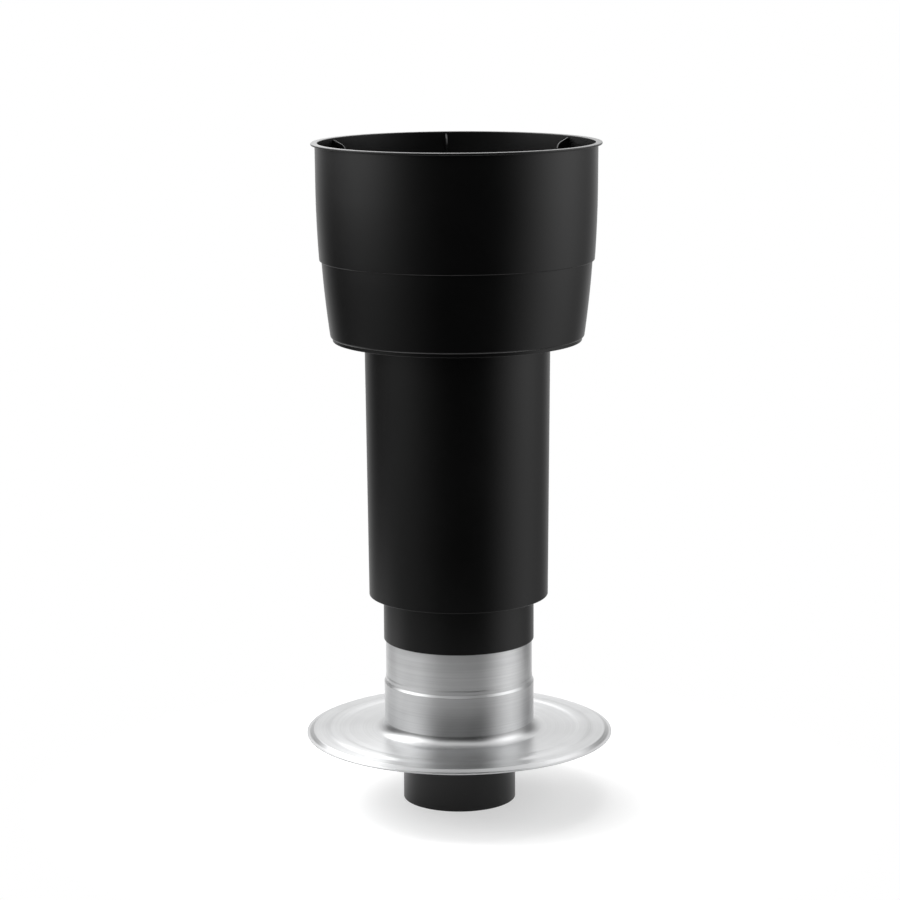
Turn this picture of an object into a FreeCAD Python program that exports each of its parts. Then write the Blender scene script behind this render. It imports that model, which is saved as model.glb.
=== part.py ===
import FreeCAD, Part
import math
import os

# Roof vent terminal for a flat roof, in millimetres. The axis is Z and the origin is the centre of the
# air duct's lower end. Radii are outer radii and heights are above that end, unless a line says otherwise.

# Air duct
duct_radius = 62.5
duct_wall = 2.5
duct_below_flashing = 75.5
duct_spigot_length = 76.0
duct_stop = 0.7

# Aluminium flashing: a flat plate with a flared neck, a low stiffening bead and a lowered rim
flashing_radius = 170.1
flashing_sheet = 1.2
rim_drop = 3.3
rim_width = 3.2
rim_slope = 4.4
rim_crest_bend = 2.4
rim_bend = 2.0
flare_radius = 12.4
bead_radius = 140.0
bead_width = 18.0
bead_side = 5.0
bead_rise = 1.2
neck_lap = 34.0

# Aluminium collar: a tube with a swaged shoulder and a fine crease above it
collar_sheet = 1.0
collar_drop = 1.2
collar_lower_length = 43.2
swage_step = 1.7
swage_height = 2.8
swage_bend = 1.2
shoulder_gap = 3.8
crease_step = 0.3
crease_height = 1.6
crease_bend = 1.2
exposed_collar = 91.8

# Roof pipe, with a socket at its lower end that goes over the collar
pipe_radius = 83.2
socket_wall = 1.8
socket_depth = 50.0
exposed_pipe = 50.5
pipe_above_sleeve = 46.5

# Tapered sleeve outside the pipe
sleeve_top_radius = 101.3
sleeve_bottom_radius = 98.9
sleeve_wall = 2.6
sleeve_length = 280.0

# Hood bowl
bowl_rim_radius = 147.1
bowl_belly_radius = 143.5
bowl_foot_radius = 138.2
bowl_wall = 2.5
bowl_height = 91.5
bowl_belly_drop = 46.5
bowl_curve = 950.0
foot_ring_inset = 2.3
foot_ring_height = 3.7
foot_ring_bend = 3.0
floor_fall = 6.5
bowl_lap = 12.0
ear_inset = 3.8
ear_depth = 21.0
spigot_length = 33.5

# Hood ring
ring_overlap = 2.3
ring_swell = 2.9
ring_top_swell = 0.5
ring_wall = 2.6
ring_height = 127.0
ring_belly_rise = 41.0
ring_curve = 1050.0
lip_overhang = 4.4
lip_thickness = 2.4
lip_round = 0.8
ring_foot_round = 1.2
ledge_thickness = 2.4
ledge_width = 5.6
ledge_fall = 1.0

# Ribs moulded inside the ring
rib_count = 6
first_rib_angle = 34.5
rib_thickness = 2.0
rib_width = 15.5
rib_top_drop = 1.5
rib_top_fall = 7.5
rib_foot_height = 7.0
rib_heel_rise = 23.0
rib_root = 1.8
rib_top_bend = 8.5
rib_foot_bend = 21.7
rib_heel_bend = 31.0

# Rain cap and the cone below it
cap_radius = 104.0
cap_rise = 59.0
cap_wall = 2.5
cap_flange = 12.0
cap_height = 36.0
cap_crown_radius = 15.6
cap_crown_bend = 62.4
cap_heel_bend = 7.5
cone_wall = 2.2
cone_rim_height = 14.0
cone_depth = 52.0
cone_tip_radius = 12.0
cone_shoulder_bend = 29.0

# Outlet nozzle
nozzle_wall = 2.4
nozzle_length = 40.0
nozzle_mouth_radius = 50.0
nozzle_plug_depth = 23.0
nozzle_seat = 0.7
nozzle_flange = 3.0
skirt_wall = 2.2
skirt_drop = 15.5

# Hood support
support_wall = 3.0
support_collar_length = 25.0
arm_thickness = 3.0
arm_end_radius = 118.0
arm_height = 20.0
arm_pad_radius = 6.5
arm_pad_thickness = 3.0

# Spacers between pipe and sleeve
spacer_wall = 2.5
spacer_height = 12.0
spacer_fin = 2.0
lower_spacer_inset = 14.0
upper_spacer_drop = 13.0

# Foam, plug and seals
plug_height = 15.3
plug_flange_radius = 96.0
plug_wall = 2.2
seal_height = 3.8
seal_width = 2.1
seal_round = 0.8
collar_seal_height = 2.0

# Screws
screw_radius = 2.0
screw_head_radius = 4.0
screw_head_height = 2.6
screw_head_crown = 1.6
screw_length = 14.0
crown_screw_count = 3
boss_radius = 4.8
recess_width = 1.0
recess_length = 4.6
recess_depth = 1.3

# Clearances
slide_gap = 0.3
close_gap = 0.1
foam_gap = 0.3
screw_gap = 0.05
screw_play = 0.2
edge_round = 0.5
fine_round = 0.2

# Heights, from the duct's end upwards
flashing_foot = duct_below_flashing
plate_rim_top = flashing_foot + flashing_sheet
plate_top = plate_rim_top + rim_drop
flare_top = plate_top + flare_radius
collar_foot = flare_top - collar_drop
neck_top = collar_foot + neck_lap
swage_bottom = collar_foot + collar_lower_length
swage_top = swage_bottom + swage_height
crease_bottom = swage_top + shoulder_gap
crease_top = crease_bottom + crease_height
pipe_foot = collar_foot + exposed_collar
socket_top = pipe_foot + socket_depth
collar_top = socket_top - collar_seal_height
sleeve_foot = pipe_foot + exposed_pipe
sleeve_top = sleeve_foot + sleeve_length
pipe_top = sleeve_top + pipe_above_sleeve
support_top = pipe_top + support_wall
ring_foot = sleeve_top + bowl_height
ledge_foot = ring_foot + bowl_lap
rim_top = ring_foot + ring_height
cap_seat = ring_foot + cap_rise
boss_top = pipe_top - arm_height

# Radii that follow from the fits
duct_body_radius = duct_radius + duct_stop
socket_bore = pipe_radius - socket_wall
collar_upper_radius = socket_bore - slide_gap
collar_lower_radius = collar_upper_radius + swage_step + crease_step
pipe_bore = collar_upper_radius - collar_sheet - close_gap
neck_radius = collar_lower_radius - collar_sheet - close_gap
neck_bore = neck_radius - flashing_sheet
foam_radius = pipe_bore - foam_gap
foam_bore = duct_body_radius + foam_gap
duct_bore = duct_radius - duct_wall
nozzle_seat_bore = duct_bore + nozzle_seat
sleeve_draft = (sleeve_top_radius - sleeve_bottom_radius) / sleeve_length
spigot_radius = sleeve_top_radius - sleeve_wall - close_gap
ring_rebate = bowl_rim_radius + close_gap
ring_foot_radius = bowl_rim_radius + ring_overlap
ring_belly_radius = ring_foot_radius + ring_swell
ring_top_radius = ring_belly_radius + ring_top_swell
bowl_bore = bowl_rim_radius - bowl_wall
floor_radius = bowl_foot_radius - foot_ring_inset
support_radius = pipe_radius + close_gap + support_wall
support_bore = pipe_bore + close_gap
skirt_bore = support_radius + close_gap
skirt_radius = skirt_bore + skirt_wall
spacer_radius = pipe_radius + close_gap + spacer_wall
plug_bore = duct_body_radius + foam_gap
plug_radius = neck_bore - slide_gap
cap_inner_flange = cap_radius - cap_flange
cone_radius = cap_inner_flange - cap_wall - close_gap
ring_screw_radius = bowl_bore - ear_inset
cap_screw_radius = cap_radius - cap_flange / 2
half_step = 180.0 / rib_count

AXIS = FreeCAD.Vector(0, 0, 1)
CENTRE = FreeCAD.Vector(0, 0, 0)
TINY = 1e-6

# Two roundings on one run take no more than this share of it, and the inside of a bent sheet keeps at
# least this share of its thickness as its rounding
longest_reach = 0.98
sharpest_bend = 0.2


def spot(radius, height):
    return FreeCAD.Vector(radius, 0, height)


def half_turn(before, corner, after):
    """Half of the angle between the two runs that meet at a corner."""
    return (before - corner).getAngle(after - corner) / 2


def reaches(points, roundings):
    """How far each rounding takes from its two runs, shortened where two roundings would meet."""
    count = len(points)
    wanted = []
    for i, rounding in enumerate(roundings):
        angle = half_turn(points[i - 1], points[i], points[(i + 1) % count])
        straight = math.pi / 2 - angle < TINY
        wanted.append(0.0 if straight else rounding / math.tan(angle))
    fitted = list(wanted)
    for i in range(count):
        after = (i + 1) % count
        run = (points[after] - points[i]).Length
        share = longest_reach * run / max(wanted[i] + wanted[after], TINY)
        fitted[i] = min(fitted[i], wanted[i] * share)
        fitted[after] = min(fitted[after], wanted[after] * share)
    return fitted


def outline(*corners):
    """Closed face in the XZ plane, from corners given as (radius, height) or (radius, height, rounding)."""
    points = [spot(corner[0], corner[1]) for corner in corners]
    roundings = [corner[2] if len(corner) > 2 else 0.0 for corner in corners]
    count = len(points)
    edges = []
    arcs = []
    for i, reach in enumerate(reaches(points, roundings)):
        here = points[i]
        if reach < TINY:
            arcs.append((here, None, here))
            continue
        to_before = (points[i - 1] - here).normalize()
        to_after = (points[(i + 1) % count] - here).normalize()
        angle = half_turn(points[i - 1], here, points[(i + 1) % count])
        inward = (to_before + to_after).normalize()
        radius = reach * math.tan(angle)
        middle = here + inward * (radius / math.sin(angle) - radius)
        arcs.append((here + to_before * reach, middle, here + to_after * reach))
    for i, (start, middle, end) in enumerate(arcs):
        last = arcs[i - 1][2]
        if (start - last).Length > TINY:
            edges.append(Part.LineSegment(last, start).toShape())
        if middle is not None:
            edges.append(Part.Arc(start, middle, end).toShape())
    return Part.Face(Part.Wire(edges))


def turned(*corners):
    """Solid of revolution about Z."""
    return outline(*corners).revolve(CENTRE, AXIS, 360)


def offset_corners(path, thickness):
    """The same path, moved by the thickness to the right of its direction, with matching roundings."""
    points = [spot(corner[0], corner[1]) for corner in path]
    normals = []
    for start, end in zip(points, points[1:]):
        along = (end - start).normalize()
        normals.append(FreeCAD.Vector(along.z, 0, -along.x))
    moved = []
    for i, corner in enumerate(path):
        first = normals[max(i - 1, 0)]
        second = normals[min(i, len(normals) - 1)]
        shift = (first + second) * (thickness / (1 + first.dot(second)))
        place = points[i] + shift
        turn = first.cross(second).y
        rounding = corner[2] if len(corner) > 2 else 0.0
        if rounding > 0:
            rounding = max(rounding - math.copysign(thickness, turn), sharpest_bend * thickness)
        moved.append((place.x, place.z, rounding))
    return moved


def sheet(thickness, *path):
    """Turned wall of even thickness, which lies to the right of a path given from its start to its end."""
    return turned(*(list(path) + offset_corners(path, thickness)[::-1]))


def rod(radius, bottom, top, at_radius=0.0, angle=0.0):
    """Upright round bar."""
    bar = Part.makeCylinder(radius, top - bottom, spot(at_radius, bottom), AXIS)
    return bar.rotated(CENTRE, AXIS, angle)


def upright_plate(face, thickness):
    """Plate in a radial plane, centred on it."""
    half = FreeCAD.Vector(0, thickness / 2, 0)
    return face.translated(half * -1).extrude(half * 2)


def around(shape, count, first_angle):
    """Copies spread evenly about the axis."""
    return [shape.rotated(CENTRE, AXIS, first_angle + i * 360.0 / count) for i in range(count)]


def joined(*shapes):
    """One solid from shapes that overlap."""
    return shapes[0].fuse(list(shapes[1:])).removeSplitter()


def screw(length):
    """Pan head screw with its head's underside at the origin, pointing down, and a cross recess."""
    head = turned((0, 0), (screw_head_radius, 0, edge_round),
                  (screw_head_radius, screw_head_height, screw_head_crown), (0, screw_head_height))
    shank = Part.makeCylinder(screw_radius, length, spot(0, -length), AXIS)
    corner = FreeCAD.Vector(-recess_length / 2, -recess_width / 2, screw_head_height - recess_depth)
    slot = Part.makeBox(recess_length, recess_width, 2 * recess_depth, corner)
    recess = slot.fuse(slot.rotated(CENTRE, AXIS, 90))
    return joined(head, shank).cut(recess)


def screws_at(radius, height, length, count, first_angle):
    """Group of upright screws on a circle."""
    one = screw(length).translated(spot(radius, height))
    return Part.makeCompound(around(one, count, first_angle))


def sleeve_bore_at(height):
    """Inner radius of the tapered sleeve at a height."""
    return sleeve_bottom_radius - sleeve_wall + (height - sleeve_foot) * sleeve_draft


def inner_duct():
    """Duct that is a little wider above its spigot, with a shallow seat for the nozzle."""
    seat_foot = support_top - nozzle_plug_depth - slide_gap
    return turned((duct_radius, 0, edge_round),
                  (duct_radius, duct_spigot_length),
                  (duct_body_radius, duct_spigot_length + duct_stop),
                  (duct_body_radius, support_top),
                  (nozzle_seat_bore, support_top),
                  (nozzle_seat_bore, seat_foot),
                  (duct_bore, seat_foot),
                  (duct_bore, 0, edge_round))


def flashing_plate():
    bead_start = bead_radius - bead_width / 2
    bead_end = bead_radius + bead_width / 2
    slope_foot = flashing_radius - rim_width
    bead_top = plate_top + bead_rise
    return sheet(flashing_sheet,
                 (neck_radius, neck_top),
                 (neck_radius, plate_top, flare_radius),
                 (bead_start, plate_top, bead_width),
                 (bead_start + bead_side, bead_top, bead_width),
                 (bead_end - bead_side, bead_top, bead_width),
                 (bead_end, plate_top, bead_width),
                 (slope_foot - rim_slope, plate_top, rim_crest_bend),
                 (slope_foot, plate_rim_top, rim_bend),
                 (flashing_radius, plate_rim_top))


def roof_collar():
    shoulder_radius = collar_upper_radius + crease_step
    return sheet(collar_sheet,
                 (collar_upper_radius, collar_top),
                 (collar_upper_radius, crease_top, crease_bend),
                 (shoulder_radius, crease_bottom, crease_bend),
                 (shoulder_radius, swage_top, swage_bend),
                 (collar_lower_radius, swage_bottom, swage_bend),
                 (collar_lower_radius, collar_foot))


def collar_seal():
    return turned((collar_upper_radius, collar_top), (collar_upper_radius, socket_top),
                  (pipe_bore + close_gap, socket_top), (pipe_bore + close_gap, collar_top))


def roof_pipe():
    body = turned((pipe_radius, pipe_foot, edge_round), (pipe_radius, pipe_top), (pipe_bore, pipe_top),
                  (pipe_bore, socket_top), (socket_bore, socket_top), (socket_bore, pipe_foot, edge_round))
    return body.cut(Part.makeCompound(crown_holes(screw_radius + screw_gap)))


def crown_holes(radius):
    """Radial bars through skirt, support collar and pipe, where the crown screws go."""
    start = spot(pipe_bore - close_gap, crown_height())
    bar = Part.makeCylinder(radius, skirt_radius - pipe_bore + 2 * close_gap, start, FreeCAD.Vector(1, 0, 0))
    return around(bar, crown_screw_count, first_rib_angle + half_step)


def crown_height():
    """Height of the crown screws, in the middle of the skirt's lower part."""
    return support_top - (skirt_drop - nozzle_flange) / 2


def outer_sleeve():
    return turned((sleeve_top_radius, sleeve_top, edge_round),
                  (sleeve_bottom_radius, sleeve_foot, edge_round),
                  (sleeve_bottom_radius - sleeve_wall, sleeve_foot, edge_round),
                  (sleeve_top_radius - sleeve_wall, sleeve_top))


def bowl_floor_at(radius):
    """Height of the top of the bowl's sloping floor at a radius."""
    inner = spigot_radius - bowl_wall
    return sleeve_top + bowl_wall + floor_fall * (radius - inner) / (floor_radius - inner)


def hood_bowl():
    floor_inner = spigot_radius - bowl_wall
    floor_outer = bowl_floor_at(floor_radius)
    spigot_foot = sleeve_top - spigot_length
    taper = sleeve_draft * spigot_length
    belly_height = ring_foot - bowl_belly_drop
    foot_height = sleeve_top + foot_ring_height
    corner_height = foot_height + foot_ring_height
    shell = turned((bowl_rim_radius, ledge_foot, edge_round),
                   (bowl_rim_radius, ring_foot),
                   (bowl_belly_radius, belly_height, bowl_curve),
                   (bowl_foot_radius, corner_height, foot_ring_bend),
                   (floor_radius, corner_height, fine_round),
                   (floor_radius, foot_height, edge_round),
                   (floor_radius - bowl_wall, foot_height, fine_round),
                   (floor_radius - bowl_wall, floor_outer - bowl_wall - foot_ring_height / 2),
                   (sleeve_top_radius + close_gap, sleeve_top),
                   (spigot_radius, sleeve_top),
                   (spigot_radius - taper, spigot_foot, edge_round),
                   (spigot_radius - taper - bowl_wall, spigot_foot, edge_round),
                   (floor_inner, sleeve_top + bowl_wall, bowl_wall),
                   (floor_radius, floor_outer, 2 * bowl_wall),
                   (bowl_belly_radius - bowl_wall, belly_height, bowl_curve),
                   (bowl_bore, ring_foot),
                   (bowl_bore, ledge_foot, edge_round))
    post_foot = bowl_floor_at(arm_end_radius) - bowl_wall / 2
    posts = around(rod(boss_radius, post_foot, boss_top, arm_end_radius), rib_count, first_rib_angle)
    ears = around(rod(boss_radius, ledge_foot - ear_depth, ledge_foot, ring_screw_radius),
                  rib_count, first_rib_angle + half_step)
    hole = screw_radius + screw_gap
    post_holes = around(rod(hole, boss_top - screw_length, boss_top, arm_end_radius), rib_count,
                        first_rib_angle)
    ear_holes = around(rod(hole, ledge_foot - screw_length, ledge_foot, ring_screw_radius), rib_count,
                       first_rib_angle + half_step)
    return joined(shell, *posts, *ears).cut(Part.makeCompound(post_holes + ear_holes))


def ring_radius_at(height):
    """Outer radius of the ring at a height, taken straight between foot, belly and top."""
    belly_height = ring_foot + ring_belly_rise
    if height > belly_height:
        share = (height - belly_height) / (rim_top - belly_height)
        return ring_belly_radius + share * (ring_top_radius - ring_belly_radius)
    share = (height - ring_foot) / ring_belly_rise
    return ring_foot_radius + share * (ring_belly_radius - ring_foot_radius)


def rib():
    """One rib: a narrow fin under the rim that widens below into a foot for the rain cap."""
    wall_top = rim_top - rib_top_drop
    fin_radius = ring_top_radius - ring_wall - rib_width
    foot_end = cap_inner_flange + close_gap
    foot_bottom = cap_seat - rib_foot_height
    heel = foot_bottom - rib_heel_rise
    face = outline((ring_radius_at(wall_top) - rib_root, wall_top),
                   (fin_radius, wall_top - rib_top_fall, rib_top_bend),
                   (fin_radius, cap_seat, rib_foot_bend),
                   (foot_end, cap_seat, edge_round),
                   (foot_end, foot_bottom, edge_round),
                   (cap_radius, foot_bottom, rib_heel_bend),
                   (ring_radius_at(heel) - rib_root, heel))
    boss = rod(boss_radius, foot_bottom, cap_seat, cap_screw_radius)
    return joined(upright_plate(face, rib_thickness), boss)


def hood_ring():
    belly_height = ring_foot + ring_belly_rise
    lip_foot = rim_top - lip_thickness
    lip_radius = ring_top_radius + lip_overhang
    ledge_top = ledge_foot + ledge_thickness
    ledge_bore = ring_rebate - ledge_width
    shell = turned((ring_top_radius - ring_wall, rim_top, lip_round),
                   (lip_radius, rim_top, lip_round),
                   (lip_radius, lip_foot, lip_round),
                   (ring_top_radius, lip_foot, lip_round),
                   (ring_belly_radius, belly_height, ring_curve),
                   (ring_foot_radius, ring_foot, ring_foot_round),
                   (ring_rebate, ring_foot, fine_round),
                   (ring_rebate, ledge_foot),
                   (ledge_bore, ledge_foot, edge_round),
                   (ledge_bore, ledge_top, edge_round),
                   (ring_radius_at(ledge_top) - ring_wall, ledge_top + ledge_fall, ring_wall / 2),
                   (ring_belly_radius - ring_wall, belly_height, ring_curve))
    hole = screw_radius + screw_play
    tab_place = rod(boss_radius, ledge_foot, ledge_top, ring_screw_radius)
    tabs = around(tab_place, rib_count, first_rib_angle + half_step)
    tab_holes = around(rod(hole, ledge_foot, ledge_top + ring_wall, ring_screw_radius), rib_count,
                       first_rib_angle + half_step)
    head_room = around(rod(screw_head_radius + slide_gap, ledge_top, ledge_top + 2 * screw_head_height,
                           ring_screw_radius), rib_count, first_rib_angle + half_step)
    ribs = around(rib(), rib_count, first_rib_angle)
    foot_holes = around(rod(screw_radius + screw_gap, cap_seat - screw_length, cap_seat, cap_screw_radius),
                        rib_count, first_rib_angle)
    whole = joined(shell, *tabs, *ribs)
    return whole.cut(Part.makeCompound(tab_holes + head_room + foot_holes))


def rain_cap():
    flange_top = cap_seat + cap_wall
    apex = cap_seat + cap_height
    shell = sheet(cap_wall,
                  (0, apex),
                  (cap_crown_radius, apex, cap_crown_bend),
                  (cap_inner_flange, flange_top, cap_heel_bend),
                  (cap_radius, flange_top))
    spigot = turned((cap_inner_flange, cap_seat - rib_foot_height), (cap_inner_flange, cap_seat + cap_wall / 2),
                    (cap_inner_flange - cap_wall, cap_seat + cap_wall / 2),
                    (cap_inner_flange - cap_wall, cap_seat - rib_foot_height))
    hole = rod(screw_radius + screw_play, cap_seat, flange_top, cap_screw_radius)
    return joined(shell, spigot).cut(Part.makeCompound(around(hole, rib_count, first_rib_angle)))


def flow_cone():
    shoulder = cap_seat - cone_rim_height
    tip = cap_seat - cone_depth
    return sheet(cone_wall,
                 (cone_radius, cap_seat - close_gap),
                 (cone_radius, shoulder, cone_shoulder_bend),
                 (cone_tip_radius, tip, cone_tip_radius),
                 (0, tip))


def outlet_nozzle():
    plug_outer = nozzle_seat_bore - close_gap
    plug_bore_radius = plug_outer - nozzle_wall
    flange_top = support_top + nozzle_flange
    mouth_height = flange_top + nozzle_length
    skirt_foot = flange_top - skirt_drop
    body = turned((plug_bore_radius, support_top - nozzle_plug_depth, edge_round),
                  (plug_outer, support_top - nozzle_plug_depth, edge_round),
                  (plug_outer, support_top),
                  (skirt_bore, support_top),
                  (skirt_bore, skirt_foot, edge_round),
                  (skirt_radius, skirt_foot, edge_round),
                  (skirt_radius, flange_top, skirt_wall),
                  (plug_outer, flange_top, 2 * nozzle_wall),
                  (nozzle_mouth_radius + nozzle_wall, mouth_height, 2 * edge_round),
                  (nozzle_mouth_radius, mouth_height, 2 * edge_round),
                  (plug_bore_radius, flange_top, nozzle_length))
    return body.cut(Part.makeCompound(crown_holes(screw_radius + screw_gap)))


def hood_support():
    collar = turned((pipe_radius + close_gap, support_top - support_wall - support_collar_length),
                    (support_radius, support_top - support_wall - support_collar_length),
                    (support_radius, support_top), (support_bore, support_top), (support_bore, pipe_top),
                    (pipe_radius + close_gap, pipe_top))
    arm_top = support_top + nozzle_flange - skirt_drop - slide_gap
    pad_top = boss_top + arm_pad_thickness
    face = outline((support_radius - support_wall / 2, boss_top),
                   (support_radius - support_wall / 2, arm_top),
                   (arm_end_radius - arm_pad_radius, pad_top, arm_height),
                   (arm_end_radius, pad_top),
                   (arm_end_radius, boss_top))
    arm = joined(upright_plate(face, arm_thickness), rod(arm_pad_radius, boss_top, pad_top, arm_end_radius))
    hole = rod(screw_radius + screw_play, boss_top, pad_top, arm_end_radius)
    arms = around(arm.cut(hole), rib_count, first_rib_angle)
    return joined(collar, *arms).cut(Part.makeCompound(crown_holes(screw_radius + screw_gap)))


def spacer(bottom):
    """Ring on the pipe with fins that reach the sleeve's wall, which leaves room for rain between them."""
    ring = turned((pipe_radius + close_gap, bottom), (spacer_radius, bottom, edge_round),
                  (spacer_radius, bottom + spacer_height, edge_round),
                  (pipe_radius + close_gap, bottom + spacer_height))
    reach = sleeve_bore_at(bottom) - slide_gap
    root = spacer_radius - spacer_wall / 2
    low = bottom + edge_round
    high = bottom + spacer_height - edge_round
    face = outline((root, low), (reach, low, edge_round), (reach, high, edge_round), (root, high))
    fins = around(upright_plate(face, spacer_fin), rib_count, first_rib_angle + half_step)
    return joined(ring, *fins)


def lower_spacer():
    return spacer(sleeve_foot + lower_spacer_inset)


def upper_spacer():
    return spacer(sleeve_top - spigot_length - upper_spacer_drop - spacer_height)


def insulation_half(side):
    """Half of the foam shell. The split lies on one of the planes that mirror ribs and screws."""
    bottom = plate_top - flashing_sheet + plug_height - plug_wall
    whole = turned((foam_bore, bottom), (foam_radius, bottom), (foam_radius, support_top - foam_gap),
                   (foam_bore, support_top - foam_gap))
    box_size = 2 * foam_radius
    corner = FreeCAD.Vector(close_gap if side > 0 else -close_gap - box_size, -foam_radius, 0)
    half = whole.common(Part.makeBox(box_size, box_size, 2 * support_top, corner))
    return half.rotated(CENTRE, AXIS, first_rib_angle + half_step - 90)


def insulation_half_left():
    return insulation_half(-1)


def insulation_half_right():
    return insulation_half(1)


def bottom_plug():
    seat = plate_top - flashing_sheet
    bottom = seat - plug_wall
    top = bottom + plug_height
    groove_top = seat + plug_wall + seal_height
    groove_radius = plug_bore + seal_width
    hub_radius = groove_radius + plug_wall
    return turned((plug_bore, bottom, edge_round),
                  (plug_flange_radius, bottom, edge_round),
                  (plug_flange_radius, seat),
                  (plug_radius, seat),
                  (plug_radius, top, edge_round),
                  (plug_radius - plug_wall, top, edge_round),
                  (plug_radius - plug_wall, seat + plug_wall, plug_wall),
                  (hub_radius, seat + plug_wall, plug_wall),
                  (hub_radius, top),
                  (plug_bore, top),
                  (plug_bore, groove_top),
                  (groove_radius, groove_top),
                  (groove_radius, seat + plug_wall),
                  (plug_bore, seat + plug_wall))


def duct_seal():
    bottom = plate_top - flashing_sheet + plug_wall + close_gap
    top = bottom + seal_height - 2 * close_gap
    inner = duct_body_radius + screw_gap
    outer = plug_bore + seal_width - close_gap
    return turned((inner, bottom, seal_round), (outer, bottom), (outer, top),
                  (inner, top, seal_round))


def ring_screws():
    return screws_at(ring_screw_radius, ledge_foot + ledge_thickness, screw_length, rib_count,
                     first_rib_angle + half_step)


def support_screws():
    return screws_at(arm_end_radius, boss_top + arm_pad_thickness, screw_length, rib_count, first_rib_angle)


def cap_screws():
    return screws_at(cap_screw_radius, cap_seat + cap_wall, cap_wall + rib_foot_height, rib_count,
                     first_rib_angle)


def nozzle_screws():
    length = skirt_radius - pipe_bore - close_gap
    one = screw(length).rotated(CENTRE, FreeCAD.Vector(0, 1, 0), 90)
    return Part.makeCompound(around(one.translated(spot(skirt_radius, crown_height())), crown_screw_count,
                                    first_rib_angle + half_step))


PIECES = [inner_duct, flashing_plate, roof_collar, collar_seal, roof_pipe, outer_sleeve, hood_bowl,
          hood_ring, rain_cap, flow_cone, outlet_nozzle, hood_support, lower_spacer, upper_spacer,
          insulation_half_left, insulation_half_right, bottom_plug, duct_seal, ring_screws,
          support_screws, cap_screws, nozzle_screws]

os.makedirs("parts", exist_ok=True)
for piece in PIECES:
    piece().exportStep("parts/" + piece.__name__ + ".step")
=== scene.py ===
import math

import bmesh
import bpy
from mathutils import Matrix, Vector


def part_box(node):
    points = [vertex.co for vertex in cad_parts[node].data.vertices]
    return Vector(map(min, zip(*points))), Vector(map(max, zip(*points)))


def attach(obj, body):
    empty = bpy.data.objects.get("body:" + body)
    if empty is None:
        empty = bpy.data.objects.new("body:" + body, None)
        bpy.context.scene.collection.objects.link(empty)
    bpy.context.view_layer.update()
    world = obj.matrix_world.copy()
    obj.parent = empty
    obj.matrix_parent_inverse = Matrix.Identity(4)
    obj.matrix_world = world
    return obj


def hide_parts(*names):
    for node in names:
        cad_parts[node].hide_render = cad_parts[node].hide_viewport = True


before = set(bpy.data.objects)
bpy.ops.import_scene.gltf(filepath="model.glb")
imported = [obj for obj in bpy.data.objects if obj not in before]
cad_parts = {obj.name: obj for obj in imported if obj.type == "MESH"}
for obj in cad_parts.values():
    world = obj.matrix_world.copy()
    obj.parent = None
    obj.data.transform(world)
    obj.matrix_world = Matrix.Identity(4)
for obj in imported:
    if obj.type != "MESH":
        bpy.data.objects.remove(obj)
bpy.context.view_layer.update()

bl_info = {
    "name": "Roof vent terminal",
    "version": (1, 0, 0),
    "blender": (4, 5, 0),
    "location": "View3D > Sidebar > Roof vent",
    "description": "Dresses the roof vent terminal: hood, tubes, collar, flashing and the studio",
    "category": "Object",
}

# All lengths are metres in the frame of the model: Z is the common axis, and the camera looks along +Y.
MM = 0.001
TURN = 2 * math.pi
AXIS = Vector((0, 0, 1))
ORIGIN = Vector((0, 0, 0))

# Fineness of the meshes: facets of a full turn, of a boss and of roundings, and when two points are one
TURN_STEPS = 256
SKIRT_STEPS = 192
STUDIO_STEPS = 96
BOSS_FACETS = 32
FEWEST_FACETS = 3
MOST_FACETS = 20
FINEST_STEP = 0.02
ROUNDING_ERROR = 0.004 * MM
WELD = 1e-7
LEVEL = 1e-9

# Small sizes that several pieces share: a fit between two pieces, and how far a boss stays under a face
FIT = 0.1 * MM
SUNK = 0.02 * MM
FINE_ROUND = 0.2 * MM
BOSS_ROUND = 0.3 * MM
EDGE_ROUND = 0.5 * MM
THINNEST_BEND = 0.2
SMOOTH_BELOW = math.radians(32)
SHEET_SMOOTH_BELOW = math.radians(40)

RING_LOW, RING_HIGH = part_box("hood_ring")
BOWL_LOW, BOWL_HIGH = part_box("hood_bowl")
SLEEVE_LOW, SLEEVE_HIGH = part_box("outer_sleeve")
PIPE_LOW, PIPE_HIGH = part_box("roof_pipe")
COLLAR_LOW, COLLAR_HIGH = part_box("roof_collar")
PLATE_LOW, PLATE_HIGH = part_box("flashing_plate")
DUCT_LOW, DUCT_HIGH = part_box("inner_duct")
CAP_LOW, CAP_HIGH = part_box("rain_cap")


def length(name, description, default):
    """Property for a size in metres."""
    return bpy.props.FloatProperty(name=name, description=description, default=default, unit="LENGTH",
                                   precision=5)


def share(name, description, default):
    """Property for a value from 0 to 1."""
    return bpy.props.FloatProperty(name=name, description=description, default=default, min=0.0, max=1.0,
                                   subtype="FACTOR")


def degrees(name, description, default):
    """Property for an angle, with its default in degrees."""
    return bpy.props.FloatProperty(name=name, description=description, default=math.radians(default),
                                   subtype="ANGLE")


def colour(name, description, default):
    """Property for a linear colour."""
    return bpy.props.FloatVectorProperty(name=name, description=description, default=default, subtype="COLOR",
                                         min=0.0, max=1.0)


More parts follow.
